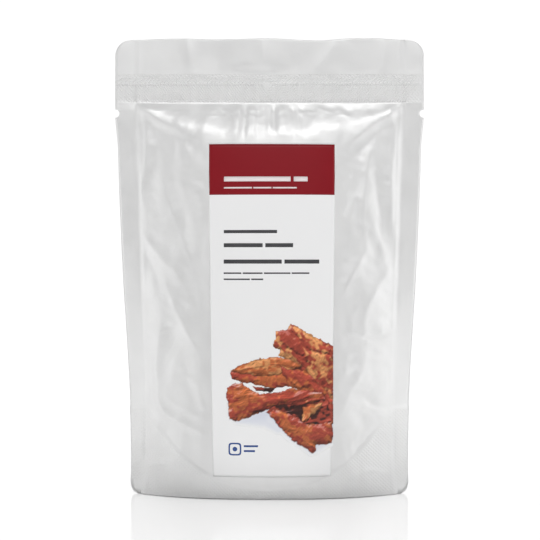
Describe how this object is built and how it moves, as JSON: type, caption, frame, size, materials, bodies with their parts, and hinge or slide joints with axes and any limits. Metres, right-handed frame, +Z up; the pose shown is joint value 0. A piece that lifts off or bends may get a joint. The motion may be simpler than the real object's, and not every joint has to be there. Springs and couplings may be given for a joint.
{
  "type": "filled stand-up pouch",
  "caption": "Heat-sealed white foil stand-up pouch filled with ground mushroom, with a folded bottom gusset, tear notches and a plain paper label on its front.",
  "frame": {"origin": "middle of the base's outline on the surface it stands on", "axes": "+Z up to the header, front and label towards -Y, +X to the right as seen from the front"},
  "size_m": [0.15, 0.0441, 0.2205],
  "materials": {
    "pouch_film": "satin",
    "label_paper": "satin",
    "mushroom_powder": "matte"
  },
  "bodies": {
    "root": {"front_panel": "pouch_film", "back_panel": "pouch_film", "bottom_gusset": "pouch_film", "front_label": "label_paper", "powder_fill": "mushroom_powder"}
  },
  "joints": []
}
